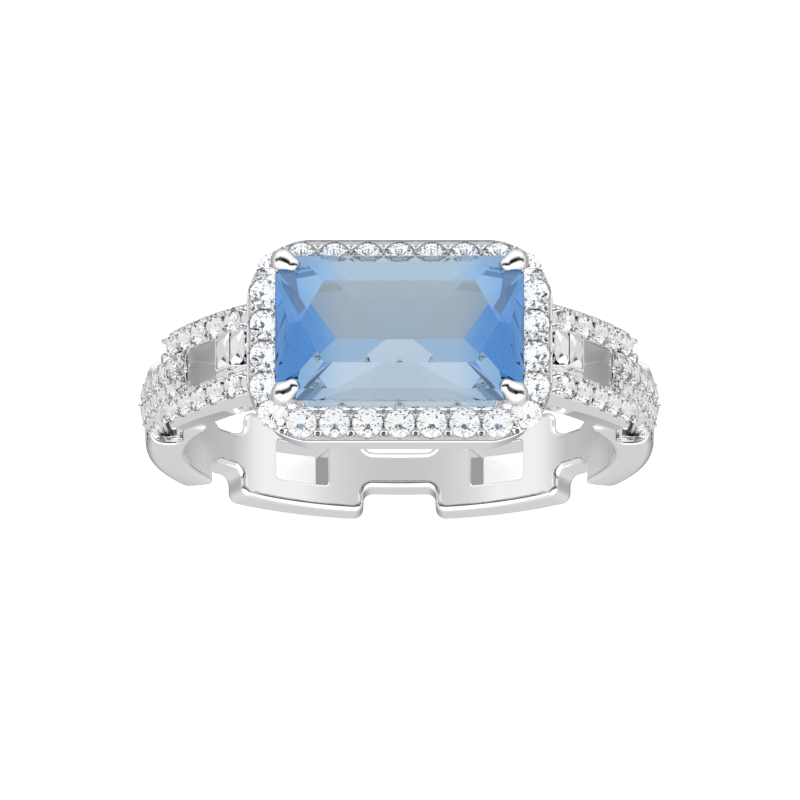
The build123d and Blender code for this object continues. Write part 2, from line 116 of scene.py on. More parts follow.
def studio_world():
    """Soft studio: white all round, greyer behind and under the ring and round the lens."""
    w = bpy.data.worlds.new("studio")
    scene.world = w
    w.use_nodes = True
    nt = w.node_tree
    nt.nodes.clear()
    out = node(nt, "ShaderNodeOutputWorld")
    bg = node(nt, "ShaderNodeBackground")
    tc = node(nt, "ShaderNodeTexCoord")

    def along(axis, lo, hi):
        d = node(nt, "ShaderNodeVectorMath", operation="DOT_PRODUCT")
        d.inputs[1].default_value = axis
        nt.links.new(tc.outputs["Generated"], d.inputs[0])
        m = node(nt, "ShaderNodeMapRange")
        m.inputs["From Min"].default_value = lo
        m.inputs["From Max"].default_value = hi
        nt.links.new(d.outputs["Value"], m.inputs["Value"])
        return m.outputs[0]

    def mixed(factor, c1, c2):
        m = node(nt, "ShaderNodeMix", data_type="RGBA")
        nt.links.new(factor, m.inputs[0])
        nt.links.new(c1, m.inputs[6])
        nt.links.new(c2, m.inputs[7])
        return m.outputs[2]

    # from below and behind (0) to the lens (1)
    depth = along(tuple(BACK), -1, 1)
    wall = ramp(nt, [(0.0, 0.30), (0.05, 0.32), (0.12, 0.36), (0.20, 0.54), (0.36, 0.57), (0.43, 0.70), (0.5, 0.88),
                     (0.56, 0.95), (0.74, 0.95), (0.84, 0.74), (0.92, 0.62), (0.957, 0.60), (0.973, 0.32), (0.986, 0.13), (1.0, 0.09)])
    nt.links.new(depth, wall.inputs[0])
    # white panels in front and at the back, lighter table top in front
    panel = ramp(nt, [(0.0, 0.62), (0.12, 0.72), (0.3, 0.78), (0.47, 0.85), (0.55, 1.45), (1.0, 1.45)])
    nt.links.new(depth, panel.inputs[0])
    front = along(tuple(UP), -0.16, -0.46)
    back = along(tuple(UP), 0.52, 0.78)
    c = mixed(front, wall.outputs[0], panel.outputs[0])
    c = mixed(back, c, panel.outputs[0])
    # a thin black flag just above the lens draws the rounded edges
    flag = ramp(nt, [(0.0, 1.0), (0.28, 1.0), (0.34, 0.14), (0.72, 0.14), (0.77, 1.0), (1.0, 1.0)])
    nt.links.new(along(tuple(UP - 0.2716 * BACK), -0.728, 0.472), flag.inputs[0])
    dim = node(nt, "ShaderNodeMix", data_type="RGBA", blend_type="MULTIPLY")
    nt.links.new(along(tuple(BACK), 0.0, 0.25), dim.inputs[0])
    nt.links.new(c, dim.inputs[6])
    nt.links.new(flag.outputs[0], dim.inputs[7])
    c = dim.outputs[2]
    # through the stones: grey table below, bright tent above with one dark band
    tent = ramp(nt, [(0.0, 0.75), (0.2, 0.75), (0.35, 1.25), (0.5, 0.85), (0.6, 1.2), (0.77, 1.2), (0.785, 0.14),
                     (0.83, 0.14), (0.845, 1.2), (1.0, 1.1)])
    nt.links.new(depth, tent.inputs[0])
    far = ramp(nt, [(0.0, 0.56), (0.35, 1.17), (1.0, 1.29)])
    nt.links.new(depth, far.inputs[0])
    near = node(nt, "ShaderNodeMath", operation="MULTIPLY")
    nt.links.new(along(tuple(UP), -0.6, -0.75), near.inputs[0])
    nt.links.new(along(tuple(BACK), 0.1, 0.3), near.inputs[1])
    grey = node(nt, "ShaderNodeRGB")
    grey.outputs[0].default_value = (1.01, 1.01, 1.01, 1)
    t = mixed(near.outputs[0], tent.outputs[0], grey.outputs[0])
    wing = node(nt, "ShaderNodeRGB")
    wing.outputs[0].default_value = (0.81, 0.81, 0.81, 1)
    t = mixed(along((1, 0, 0), 0.7, 0.9), t, wing.outputs[0])
    t = mixed(along((-1, 0, 0), 0.7, 0.9), t, wing.outputs[0])
    t = mixed(along(tuple(UP), 0.45, 0.6), t, far.outputs[0])
    path = node(nt, "ShaderNodeLightPath")
    c = mixed(path.outputs["Is Transmission Ray"], c, t)
    nt.links.new(c, bg.inputs["Color"])
    bg.inputs["Strength"].default_value = 1.0
    nt.links.new(bg.outputs[0], out.inputs["Surface"])


studio_world()


def new_material(name):
    m = bpy.data.materials.new(name)
    m.use_nodes = True
    nt = m.node_tree
    nt.nodes.clear()
    out = node(nt, "ShaderNodeOutputMaterial")
    p = node(nt, "ShaderNodeBsdfPrincipled")
    nt.links.new(p.outputs[0], out.inputs["Surface"])
    return m, nt, p, out


def white_metal():
    """Polished rhodium plate: a hair of polishing haze in roughness, bump and tone."""
    m, nt, p, _ = new_material("white_metal")
    p.inputs["Metallic"].default_value = 1.0
    tc = node(nt, "ShaderNodeTexCoord")
    n1 = node(nt, "ShaderNodeTexNoise")
    n1.inputs["Scale"].default_value = 900
    n1.inputs["Detail"].default_value = 3
    nt.links.new(tc.outputs["Object"], n1.inputs["Vector"])
    rr = node(nt, "ShaderNodeMapRange")
    rr.inputs["To Min"].default_value = 0.015
    rr.inputs["To Max"].default_value = 0.04
    nt.links.new(n1.outputs["Fac"], rr.inputs["Value"])
    # inside the shoulder windows the casting is left satin, rougher, and the same mask darkens its colour there as
    # painted shade
    satin_and_shade = node(nt, "ShaderNodeAttribute", attribute_name="satin_and_shade")
    rough = node(nt, "ShaderNodeMix", data_type="FLOAT")
    nt.links.new(satin_and_shade.outputs["Fac"], rough.inputs[0])
    nt.links.new(rr.outputs[0], rough.inputs[2])
    rough.inputs[3].default_value = 0.7
    nt.links.new(rough.outputs[0], p.inputs["Roughness"])
    c = ramp(nt, [(0.0, (0.90, 0.90, 0.905)), (1.0, (0.935, 0.935, 0.94))])
    nt.links.new(n1.outputs["Fac"], c.inputs[0])
    # painted shade: where the satin mask is set, the base colour darkens to 0.86 in the windows, the pierced flank and
    # on the finger side
    tone_and_shade = node(nt, "ShaderNodeMix", data_type="RGBA")
    nt.links.new(satin_and_shade.outputs["Fac"], tone_and_shade.inputs[0])
    nt.links.new(c.outputs[0], tone_and_shade.inputs[6])
    tone_and_shade.inputs[7].default_value = (0.86, 0.86, 0.865, 1)
    nt.links.new(tone_and_shade.outputs[2], p.inputs["Base Color"])
    n2 = node(nt, "ShaderNodeTexNoise")
    n2.inputs["Scale"].default_value = 500
    nt.links.new(tc.outputs["Object"], n2.inputs["Vector"])
    b = node(nt, "ShaderNodeBump")
    b.inputs["Strength"].default_value = 0.02
    b.inputs["Distance"].default_value = 0.00002
    nt.links.new(n2.outputs["Fac"], b.inputs["Height"])
    nt.links.new(b.outputs[0], p.inputs["Normal"])
    return m


def clear_stone():
    m, nt, p, _ = new_material("clear_stone")
    p.inputs["IOR"].default_value = 2.15
    p.inputs["Transmission Weight"].default_value = 1.0
    tc = node(nt, "ShaderNodeTexCoord")
    n1 = node(nt, "ShaderNodeTexNoise")
    n1.inputs["Scale"].default_value = 1500
    nt.links.new(tc.outputs["Object"], n1.inputs["Vector"])
    rr = node(nt, "ShaderNodeMapRange")
    rr.inputs["To Min"].default_value = 0.0
    rr.inputs["To Max"].default_value = 0.01
    nt.links.new(n1.outputs["Fac"], rr.inputs["Value"])
    nt.links.new(rr.outputs[0], p.inputs["Roughness"])
    c = ramp(nt, [(0.0, (0.985, 0.99, 1.0)), (1.0, (1.0, 1.0, 1.0))])
    nt.links.new(n1.outputs["Fac"], c.inputs[0])
    nt.links.new(c.outputs[0], p.inputs["Base Color"])
    return m


def blue_stone_material():
    m, nt, p, out = new_material("blue_stone")
    p.inputs["IOR"].default_value = 1.58
    p.inputs["Transmission Weight"].default_value = 1.0
    p.inputs["Roughness"].default_value = 0.0
    tc = node(nt, "ShaderNodeTexCoord")
    n1 = node(nt, "ShaderNodeTexNoise")
    n1.inputs["Scale"].default_value = 250
    nt.links.new(tc.outputs["Object"], n1.inputs["Vector"])
    c = ramp(nt, [(0.0, (0.615, 0.62, 0.625)), (1.0, (0.625, 0.63, 0.635))])
    nt.links.new(n1.outputs["Fac"], c.inputs[0])
    nt.links.new(c.outputs[0], p.inputs["Base Color"])
    v = node(nt, "ShaderNodeVolumeAbsorption")
    v.inputs["Color"].default_value = (0.054, 0.57, 0.97, 1)
    v.inputs["Density"].default_value = 95.0
    # colour gathers toward the two ends of the crystal
    sx = node(nt, "ShaderNodeSeparateXYZ")
    nt.links.new(tc.outputs["Object"], sx.inputs[0])
    ab = node(nt, "ShaderNodeMath", operation="ABSOLUTE")
    nt.links.new(sx.outputs[0], ab.inputs[0])
    zone = node(nt, "ShaderNodeMapRange", interpolation_type="SMOOTHSTEP")
    zone.inputs["From Min"].default_value = 2.0 * MM
    zone.inputs["From Max"].default_value = 4.0 * MM
    zone.inputs["To Min"].default_value = 95.0
    zone.inputs["To Max"].default_value = 230.0
    nt.links.new(ab.outputs[0], zone.inputs["Value"])
    nt.links.new(zone.outputs[0], v.inputs["Density"])
    nt.links.new(v.outputs[0], out.inputs["Volume"])
    return m


METAL = white_metal()
CLEAR = clear_stone()
BLUE = blue_stone_material()


def floor_material():
    m, nt, p, _ = new_material("pale_floor")
    p.inputs["Base Color"].default_value = (0.93, 0.93, 0.93, 1)
    p.inputs["Roughness"].default_value = 0.5
    p.inputs["Emission Color"].default_value = (1, 1, 1, 1)
    p.inputs["Emission Strength"].default_value = 0.45
    return m


def make_floor():
    bm = bmesh.new()
    n, half = 24, 400 * MM
    bmesh.ops.create_grid(bm, x_segments=n, y_segments=n, size=half)
    me = bpy.data.meshes.new("floor")
    bm.to_mesh(me)
    bm.free()
    o = bpy.data.objects.new("floor", me)
    scene.collection.objects.link(o)
    o.location = (0, 0, CAD_LO[2])
    me.materials.append(floor_material())
    o.visible_glossy = False
    o.visible_transmission = False
    return o


floor = make_floor()

# ------------------------------------------------------------------
# metal by signed distance: fields in mm, negative inside
# ------------------------------------------------------------------
def r_and(a, b, r):
    """Intersection with the shared edge rounded to radius r."""
    if r <= 0:
        return np.maximum(a, b)
    u = np.maximum(r + a, 0)
    v = np.maximum(r + b, 0)
    return np.minimum(-r, np.maximum(a, b)) + np.sqrt(u * u + v * v)


def r_or(a, b, r):
    """Union with the inner corner filled to radius r."""
    if r <= 0:
        return np.minimum(a, b)
    u = np.maximum(r - a, 0)
    v = np.maximum(r - b, 0)
    return np.maximum(r, np.minimum(a, b)) - np.sqrt(u * u + v * v)


def r_cut(a, b, r):
    return r_and(a, -b, r)


def cut_corner(x, y, hx, hy, cut, r):
    """Cut-corner rectangle in plan, its eight corners rounded to r."""
    c = (np.abs(x) + np.abs(y) - (hx + hy - cut)) * f32(0.70710678)
    d = r_and(np.abs(x) - hx, np.abs(y) - hy, 0)
    return r_and(d, c, r)


def half_plane(x, z, p, q):
    """Distance from the line p-q, positive on its left."""
    dx, dz = q[0] - p[0], q[1] - p[1]
    n = math.hypot(dx, dz)
    return ((x - p[0]) * (-dz) + (z - p[1]) * dx) * f32(1 / n)


def capsule(X, Y, Z, a, b, ra, rb):
    """A tapered rod with round ends from a to b."""
    ab = [b[i] - a[i] for i in range(3)]
    l2 = sum(v * v for v in ab)
    px, py, pz = X - f32(a[0]), Y - f32(a[1]), Z - f32(a[2])
    t = np.clip((px * f32(ab[0]) + py * f32(ab[1]) + pz * f32(ab[2])) * f32(1 / l2), 0, 1)
    px, py, pz = px - t * f32(ab[0]), py - t * f32(ab[1]), pz - t * f32(ab[2])
    return np.sqrt(px * px + py * py + pz * pz) - (f32(ra) + t * f32(rb - ra))


def ball(X, Y, Z, c, r):
    x, y, z = X - f32(c[0]), Y - f32(c[1]), Z - f32(c[2])
    return np.sqrt(x * x + y * y + z * z) - f32(r)


def net(field, lo, hi, h, steps=3):
    """Surface net of a field over a box, moved on to its zero level; verts, quads, normals."""
    n = [int(math.ceil((b - a) / h)) + 1 for a, b in zip(lo, hi)]
    ax = [np.asarray([a + h * i for i in range(k)], f32) for a, k in zip(lo, n)]
    F = np.empty(n, f32)
    slab = max(1, int(1.5e6 / (n[1] * n[2])))
    for i in range(0, n[0], slab):
        X, Y, Z = np.meshgrid(ax[0][i:i + slab], ax[1], ax[2], indexing="ij")
        F[i:i + slab] = field(X, Y, Z)
    S = F < 0
    cell = [slice(0, -1), slice(1, None)]
    corners = {}
    count = np.zeros([k - 1 for k in n], np.uint8)
    for a in (0, 1):
        for b in (0, 1):
            for c in (0, 1):
                count += S[cell[a], cell[b], cell[c]]
    active = (count > 0) & (count < 8)
    idx = np.argwhere(active)
    ident = -np.ones(active.shape, np.int64)
    ident[active] = np.arange(len(idx))
    P = np.zeros((len(idx), 3))
    W = np.zeros(len(idx))
    i, j, k = idx.T
    for d in range(3):
        e = [0, 0, 0]
        e[d] = 1
        others = [q for q in range(3) if q != d]
        for a in (0, 1):
            for b in (0, 1):
                o = [0, 0, 0]
                o[others[0]], o[others[1]] = a, b
                f0 = F[i + o[0], j + o[1], k + o[2]]
                f1 = F[i + o[0] + e[0], j + o[1] + e[1], k + o[2] + e[2]]
                m = (f0 < 0) != (f1 < 0)
                t = np.where(m, f0 / np.where(m, f0 - f1, 1), 0)
                for q in range(3):
                    P[:, q] += np.where(m, o[q] + e[q] * t, 0)
                W += m
    P = (P / W[:, None] + idx) * h + np.array(lo)
    quads = []
    for d in range(3):
        o1, o2 = [q for q in range(3) if q != d]
        a = [slice(0, None)] * 3
        b = [slice(0, None)] * 3
        a[d], b[d] = slice(0, -1), slice(1, None)
        for q in (o1, o2):
            a[q] = b[q] = slice(1, -1)
        S0, S1 = S[tuple(a)], S[tuple(b)]
        at = np.argwhere(S0 != S1)
        if not len(at):
            continue
        inside = S0[tuple(at.T)]
        base = at.copy()
        base[:, o1] += 1
        base[:, o2] += 1
        ring = []
        for p, q in ((-1, -1), (0, -1), (0, 0), (-1, 0)):
            c = base.copy()
            c[:, o1] += p
            c[:, o2] += q
            ring.append(ident[tuple(c.T)])
        ring = np.stack(ring, 1)
        flip = inside if d != 1 else ~inside
        ring[~flip] = ring[~flip][:, ::-1]
        quads.append(ring)
    quads = np.concatenate(quads)
    P = P.astype(np.float64)

    def value(Q):
        return field(Q[:, 0].astype(f32), Q[:, 1].astype(f32), Q[:, 2].astype(f32)).astype(np.float64)

    def gradient(Q, eps):
        g = np.empty_like(Q)
        for q in range(3):
            up, dn = Q.copy(), Q.copy()
            up[:, q] += eps
            dn[:, q] -= eps
            g[:, q] = (value(up) - value(dn)) / (2 * eps)
        return g

    for _ in range(steps):
        g = gradient(P, h * 0.2)
        d = value(P)
        s = np.clip(d / np.maximum((g * g).sum(1), 0.2), -h * 0.5, h * 0.5)
        P -= g * s[:, None]
    g = gradient(P, h * 0.35)
    g /= np.maximum(np.linalg.norm(g, axis=1), 1e-9)[:, None]
    return P, quads, g


def mesh_object(name, P, faces, normals=None, material=None, smooth=True):
    me = bpy.data.meshes.new(name)
    P = np.asarray(P, float) * MM
    if isinstance(faces, np.ndarray):
        k = faces.shape[1]
        me.vertices.add(len(P))
        me.vertices.foreach_set("co", P.astype(f32).ravel())
        me.loops.add(faces.size)
        me.loops.foreach_set("vertex_index", faces.astype(np.int32).ravel())
        me.polygons.add(len(faces))
        me.polygons.foreach_set("loop_start", np.arange(0, faces.size, k, dtype=np.int32))
        me.update(calc_edges=True)
    else:
        me.from_pydata([tuple(p) for p in P], [], [tuple(f) for f in faces])
    me.validate()
    me.polygons.foreach_set("use_smooth", [smooth] * len(me.polygons))
    if normals is not None and len(normals) == len(me.vertices):
        me.normals_split_custom_set_from_vertices([tuple(n) for n in normals])
    me.update()
    o = bpy.data.objects.new(name, me)
    scene.collection.objects.link(o)
    if material:
        me.materials.append(material)
    return o


def metal_piece(name, field, lo, hi, h, nodes, mirror=False, steps=3, satin_and_shade=None):
    """Builds a field as a mesh that rides on the root and stands for its CAD nodes."""
    P, quads, g = net(field, lo, hi, h, steps)
    out = []
    sides = ((name, 1),) if not mirror else ((name + "_right", 1), (name + "_left", -1))
    for k, (nm, s) in enumerate(sides):
        Q, G, F = P.copy(), g.copy(), quads
        if s < 0:
            Q[:, 0] *= -1
            G[:, 0] *= -1
            F = quads[:, ::-1]
        o = mesh_object(nm, Q, F, G, METAL)
        # the satin mask sets a rougher polish and painted shade (a darker colour)
        if satin_and_shade:
            at = o.data.attributes.new("satin_and_shade", "FLOAT", "POINT")
            at.data.foreach_set("value", np.asarray(satin_and_shade(Q), f32))
        # the stones refract the studio, not their own settings
        o.visible_transmission = False
        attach(o, "root")
        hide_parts(*(nodes[k] if mirror else nodes))
        out.append(o)
    return out


# ------------------------------------------------------------------
# polished lower shank: four wide windowed links joined by bars
# ------------------------------------------------------------------
RM = 0.5 * (R_IN + R_OUT)
LINK_HALF = 1.8
# each link's ends in degrees, at the inner and at the outer radius
LINKS = (((9.8, 47.3), (8.3, 43.5)), ((58.9, 118), (58.2, 118)))
WINDOW = (19.5, 35.3)


def shank_field(X, Y, Z):
    x = np.abs(X)
    r = np.sqrt(X * X + Z * Z)
    u = np.arctan2(x, -Z) * f32(RM)
    ay = np.abs(Y)
    d_out, d_in = r - f32(R_OUT), f32(R_IN) - r
    # side faces lean in a little toward the outside
    side = np.clip((u - f32(math.radians(50) * RM)) * f32(1.5), 0, 1)
    ac = ay + (f32(0.012) + f32(0.045) * side) * np.clip(r - f32(R_IN), 0, 2) ** 2
    plan = ac - f32(0.74)
    for (p, q), (p1, q1) in LINKS:
        walls = np.maximum(-half_plane(x, Z, polar(R_IN, p), polar(R_OUT, p1)), half_plane(x, Z, polar(R_IN, q), polar(R_OUT, q1)))
        if q < 50:
            # on the far side their upper ends are undercut
            walls = np.where(Y > 0, np.maximum(walls, half_plane(x, Z, polar(R_IN, q), polar(R_OUT, q - 9.5))), walls)
        plan = r_or(plan, r_and(walls, ac - f32(LINK_HALF), 0.42), 0.4)
    d = r_and(plan, d_out, 0.42)
    d = r_and(d, d_in, 0.25)
    # the side links' lower ends are half round
    (p, q), (p1, q1) = LINKS[1]
    nose = r_and(-half_plane(x, Z, polar(R_IN, p), polar(R_OUT, p1)), d_out + f32(0.10) * np.clip((f32(0.5) - Z) / f32(1.5), 0, 1), 0.80)
    nose = r_and(nose, d_in, 0.55)
    nose = np.minimum(nose, u - f32(math.radians(52) * RM))
    d = np.maximum(d, r_or(nose, ay - f32(0.80), 0.2))
    # the connector's neck rises from a U-shaped opening in the side link's top
    slot_ = np.sqrt((x - f32(9.48)) ** 2 + np.minimum(Z - f32(2.4), 0) ** 2) - f32(0.72)
    d = r_cut(d, np.maximum(slot_, f32(1.36) - ay), 0.1)
    d = np.maximum(d, -np.maximum(ay - f32(1.38), f32(math.radians(94.0) * RM) - u))
    w0, w1 = WINDOW
    uw, hw = math.radians(w0 + w1) / 2 * RM, math.radians(w1 - w0) / 2 * RM
    win = r_and(np.abs(u - f32(uw)) - f32(hw), ay - f32(0.8), 0.14)
    return r_cut(d, win, 0.05)


def inner_satin_and_shade(P):
    """Softer polish on the finger side of the side links, and through the same mask a slight painted shade (darker
    colour).
    """
    x, r = np.abs(P[:, 0]), np.hypot(P[:, 0], P[:, 2])
    return 0.35 * np.clip((8.69 - r) / 0.03, 0, 1) * np.clip((x - 7.2) / 0.2, 0, 1)


metal_piece("shank_links", shank_field, (-10.5, -1.9, -10.5), (10.5, 1.9, 5.1), 0.06, ["lower_shank"], satin_and_shade=inner_satin_and_shade)



# ------------------------------------------------------------------
# stone places: (centre, outward normal, along-row direction, diameter)
# ------------------------------------------------------------------
HS_Z = HALO_TOP - 0.06
ROW_Y, SIDE_X = 3.44, 5.42
ROW_X = (-3.95, -2.62, -1.29, 0.0, 1.29, 2.62, 3.95)
SIDE_Y = (-1.95, -0.65, 0.65, 1.95)
D_HALO, D_RAIL, D_BLOCK, D_CONN, D_FLANK = 1.25, 1.05, 1.2, 0.89, 0.55
RAIL_DEG = (24.6, 28.8, 32.95, 37.3, 41.7)
BLOCK_DEG = (41.95, 45.0)
BLOCK_STONE = (0.80, 1.34)
CONN_DEG = (9.4, 13.1, 16.8, 20.5, 24.2, 27.7)
CONN_Y, CONN_TILT = 0.44, math.radians(14)
BLOCK_RISE = 0.5


def seat(X, Y, Z, c, n, d):
    """Countersunk hole for a round stone: cone under the girdle, drill below, open above."""
    px, py, pz = X - f32(c[0]), Y - f32(c[1]), Z - f32(c[2])
    h = px * f32(n[0]) + py * f32(n[1]) + pz * f32(n[2])
    rho = np.sqrt(np.maximum(px * px + py * py + pz * pz - h * h, 1e-9))
    R = 0.515 * d
    cone = (rho - f32(R) - h * f32(0.82)) * f32(0.77)
    hole = np.minimum(rho - f32(0.25 * d), 5.0)
    s = np.minimum(np.maximum(rho - f32(R), cone), hole)
    return np.maximum(np.maximum(s, -h - f32(1.05 * d)), h - f32(0.55))


def claws_between(X, Y, Z, c, a, n, side, pitch, reach, r, lift, gap=0.075):
    """The four little grains between two neighbouring stones."""
    out = None
    for t in (-1, 1):
        for o in (-reach, reach):
            p = [c[i] + a[i] * t * gap + side[i] * o + n[i] * lift for i in range(3)]
            b = ball(X, Y, Z, p, r)
            out = b if out is None else np.minimum(out, b)
    return out


# ------------------------------------------------------------------
# halo frame
# ------------------------------------------------------------------
def halo_gaps():
    """Gap centres between neighbouring halo stones, folded into the +X +Y quarter."""
    g = []
    for x in (0.645, 1.955, 3.285):
        g.append(((x, ROW_Y, HALO_TOP), (1, 0, 0), (0, 1, 0)))
    for y in (0.0, 1.30):
        g.append(((SIDE_X, y, HALO_TOP), (0, 1, 0), (1, 0, 0)))
    g.append(((4.56, 3.36, HALO_TOP), (0.93, -0.36, 0), (0.36, 0.93, 0)))
    g.append(((5.29, 2.49, HALO_TOP), (0.47, -0.88, 0), (0.88, 0.47, 0)))
    return g


def halo_field(X, Y, Z):
    ax, ay = np.abs(X), np.abs(Y)
    d = cut_corner(ax, ay, 6.15, 4.25, f32(1.56) + f32(0.22) * (f32(HALO_TOP) - Z), 0.7)
    slab = np.abs(Z - f32(HALO_TOP - HALO_T / 2)) - f32(HALO_T / 2)
    d = r_and(d, slab, 0.07)
    hole = cut_corner(ax, ay, 4.66, 2.72, 0.5, 0.2)
    d = r_cut(d, hole, 0.06)
    # bright-cut trough round the stones, with a fine rim inside and outside
    t = cut_corner(ax, ay, 6.15 - 0.12, 4.25 - 0.12, 1.56 - 0.07, 0.6)
    t = np.maximum(t, -cut_corner(ax, ay, 4.66 + 0.08, 2.72 + 0.08, 0.5, 0.2))
    t = np.maximum(t, f32(HALO_TOP - 0.07) - Z)
    d = r_cut(d, t, 0.02)
    n = (0, 0, 1)
    for c, a, s in halo_gaps():
        # metal left standing between two stones
        px, py = ax - f32(c[0]), ay - f32(c[1])
        u = np.abs(px * f32(a[0]) + py * f32(a[1]))
        v = px * f32(s[0]) + py * f32(s[1])
        post = np.maximum(np.maximum(u - f32(0.17), np.abs(v) - f32(0.5)), np.abs(Z - f32(HALO_TOP - 0.3)) - f32(0.33))
        d = r_or(d, post, 0.03)
    for c, a, s in halo_gaps():
        d = r_or(d, claws_between(ax, ay, Z, c, a, n, s, 1.3, 0.33, 0.125, 0.06, 0.11), 0.05)
    for c in [(abs(x), ROW_Y) for x in ROW_X[3:]] + [(SIDE_X, abs(y)) for y in SIDE_Y[2:]] + [(5.10, 3.05)]:
        d = np.maximum(d, -seat(ax, ay, Z, (c[0], c[1], HS_Z), n, D_HALO))
    for c, a, s in halo_gaps():
        for o, ra, rb in ((0.47, 0.07, 0.085), (-0.47, 0.07, 0.085), (0.0, 0.028, 0.2)):
            px, py = ax - f32(c[0] + s[0] * o), ay - f32(c[1] + s[1] * o)
            u = px * f32(a[0]) + py * f32(a[1])
            v = px * f32(s[0]) + py * f32(s[1])
            pit = np.sqrt((u / f32(ra)) ** 2 + (v / f32(rb)) ** 2 + ((Z - f32(HALO_TOP + 0.05)) / f32(0.3)) ** 2) - 1
            d = np.maximum(d, -pit * f32(ra))
    return d


metal_piece("halo_frame", halo_field, (-6.25, -4.35, 10.05), (6.25, 4.35, 11.6), 0.05, ["halo_plate"])


# ------------------------------------------------------------------
# shoulders: flared windowed links with stone rails and a raised block
# ------------------------------------------------------------------
def shoulder_frame(r, deg, y):
    x, z = shoulder(r, deg)
    a = math.radians(deg)
    return (x, y, z), (-math.sin(a), 0, math.cos(a)), (math.cos(a), 0, math.sin(a))


def shoulder_field(X, Y, Z):
    r = np.sqrt(X * X + Z * Z)
    ay = np.abs(Y)
    ro = np.sqrt((X - f32(S_CX)) ** 2 + (Z - f32(S_CZ)) ** 2)
    d_out = ro - f32(S_R)
    d_in = f32(R_IN) - r
    P0, P1, P3 = polar(R_IN, 111.5), (8.97, 4.37), (9.33, 5.40)
    low = r_and(-half_plane(X, Z, P0, P1), -half_plane(X, Z, P1, P3), 0.25)
    left = half_plane(X, Z, polar(R_IN, 146.0), (5.15, 10.15))
    prof = np.maximum(np.maximum(d_out, low), np.maximum(left, Z - f32(10.15)))
    w = f32(1.6) + f32(0.3) * np.clip((r - f32(R_IN)) / f32(1.6), 0, 1)
    wall = (ay - w) * f32(0.983)
    d = r_and(prof, wall, 0.05)
    d = r_and(d, d_in, 0.24)
    # trough for the stones along each rail, a fine rim outside it
    tr = np.maximum(np.maximum(ay - f32(1.83), f32(0.86) - ay), f32(-0.07) - d_out)
    d = r_cut(d, tr, 0.02)
    # room for the connector's bar over the lower crossbar
    x_bar = X - f32(8.59)
    bar = np.maximum(np.maximum(f32(S_R - 0.56) - ro, ay - f32(0.96)), -x_bar)
    d = np.maximum(d, -bar)
    # raised block beside the head
    blk = np.maximum(np.maximum(d_out - f32(BLOCK_RISE), f32(S_R - 0.6) - ro), np.maximum(X - f32(7.43), Z - f32(10.15)))
    blk = r_and(blk, ay - f32(0.76), 0.05)
    blk = np.maximum(blk, left)
    d = r_or(d, blk, 0.03)
    # window, with a sloping floor
    end = -half_plane(X, Z, (8.47, 5.36), (8.62, 7.9))
    side = r_and(end, ay - f32(0.8), 0.24)
    floor_ = -half_plane(X, Z, (6.7, 4.35), (8.47, 5.36))
    top = half_plane(X, Z, (4.9, 5.7), (7.42, 8.60))
    win = np.maximum(r_and(side, floor_, 0.06), top)
    d = r_cut(d, win, 0.035)
    # grains between the rail stones
    for s in range(len(RAIL_DEG)):
        if s + 1 < len(RAIL_DEG):
            deg = 0.5 * (RAIL_DEG[s] + RAIL_DEG[s + 1])
        else:
            deg = RAIL_DEG[s] + 2.15
        c, a, n = shoulder_frame(S_R, deg, 1.36)
        d = r_or(d, claws_between(X, ay, Z, c, a, n, (0, 1, 0), 1.1, 0.33, 0.12, 0.02, 0.10), 0.04)
    for deg in (RAIL_DEG[0] - 2.1,):
        c, a, n = shoulder_frame(S_R, deg, 1.36)
        d = r_or(d, claws_between(X, ay, Z, c, a, n, (0, 1, 0), 1.1, 0.30, 0.12, 0.0, 0.06), 0.04)
    for deg in RAIL_DEG:
        c, a, n = shoulder_frame(S_R - 0.08, deg, 1.36)
        d = np.maximum(d, -seat(X, ay, Z, c, n, D_RAIL))
    for deg in BLOCK_DEG:
        c, a, n = shoulder_frame(S_R + BLOCK_RISE, deg, 0)
        px, pz = X - f32(c[0]), Z - f32(c[2])
        u_, h_ = px * f32(a[0]) + pz * f32(a[2]), px * f32(n[0]) + pz * f32(n[2])
        box = np.maximum(np.maximum(np.abs(u_) - f32(0.5 * BLOCK_STONE[0] + 0.005), ay - f32(0.5 * BLOCK_STONE[1] + 0.005)), f32(-0.42) - h_)
        d = np.maximum(d, -np.maximum(box, h_ - f32(0.5)))
    # dark pits between the rail stones, towards the outer edge
    for s in range(len(RAIL_DEG)):
        deg = 0.5 * (RAIL_DEG[s] + RAIL_DEG[s + 1]) if s + 1 < len(RAIL_DEG) else RAIL_DEG[s] + 2.15
        for y, rr in ((1.58, 0.1), (1.13, 0.07)):
            c, a, n = shoulder_frame(S_R, deg, y)
            d = np.maximum(d, -capsule(X, ay, Z, c, [c[i] - 0.35 * n[i] for i in range(3)], rr, rr * 0.8))
    return np.maximum(d, Z - f32(10.15))


def window_satin_and_shade(P):
    """1 on the walls of the shoulder window, 0 on the polished outside; there the metal is rougher and painted shade
    darkens its colour.
    """
    x, y, z = np.abs(P[:, 0]), np.abs(P[:, 1]), P[:, 2]
    depth = S_R - np.hypot(x - S_CX, z - S_CZ)
    end = -half_plane(x, z, (8.47, 5.36), (8.62, 7.9))
    inside = np.maximum(np.maximum(end, y - 0.8), np.maximum(-half_plane(x, z, (6.7, 4.35), (8.47, 5.36)), half_plane(x, z, (4.9, 5.7), (7.42, 8.60))))
    return np.clip((0.10 - inside) / 0.05, 0, 1) * np.clip((depth - 0.10) / 0.15, 0, 1)


metal_piece("shoulder_link", shoulder_field, (4.4, -2.05, 2.7), (10.9, 2.05, 10.35), 0.05,
            [["shoulder_right"], ["shoulder_left"]], mirror=True, satin_and_shade=window_satin_and_shade)


